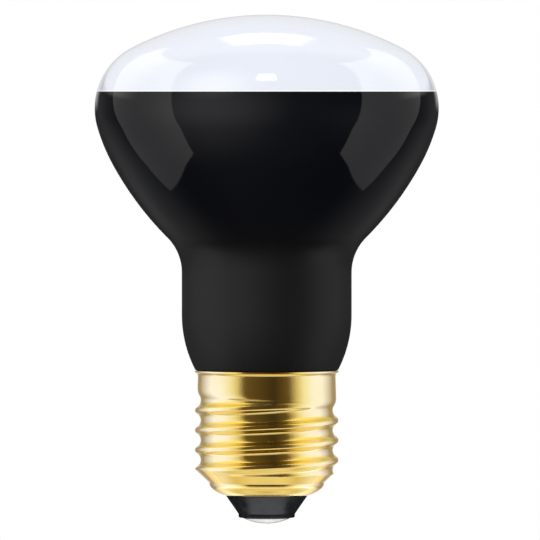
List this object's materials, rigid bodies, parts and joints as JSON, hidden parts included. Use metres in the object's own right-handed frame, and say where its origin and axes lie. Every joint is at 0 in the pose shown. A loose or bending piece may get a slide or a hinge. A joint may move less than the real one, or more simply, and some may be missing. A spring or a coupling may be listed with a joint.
{
  "type": "reflector led bulb",
  "caption": "Reflector lamp bulb with a black mirrored glass body, pale domed front, long neck and brass Edison screw cap.",
  "frame": {"origin": "tip of the centre contact, on the axis of the bulb", "axes": "+Z along the axis from the contact to the domed front; +X to the right of the picture, -Y to its viewer"},
  "size_m": [0.063, 0.063, 0.0931],
  "materials": {
    "coated_glass": "gloss, black mirrored coating below a pale domed front",
    "cap_brass": "bright rolled sheet",
    "insulator_black": "gloss black",
    "contact_metal": "bright tinned"
  },
  "bodies": {
    "root": {"glass_envelope": "coated_glass", "cap_shell": "cap_brass", "cap_insulator": "insulator_black", "centre_contact": "contact_metal"}
  },
  "joints": []
}
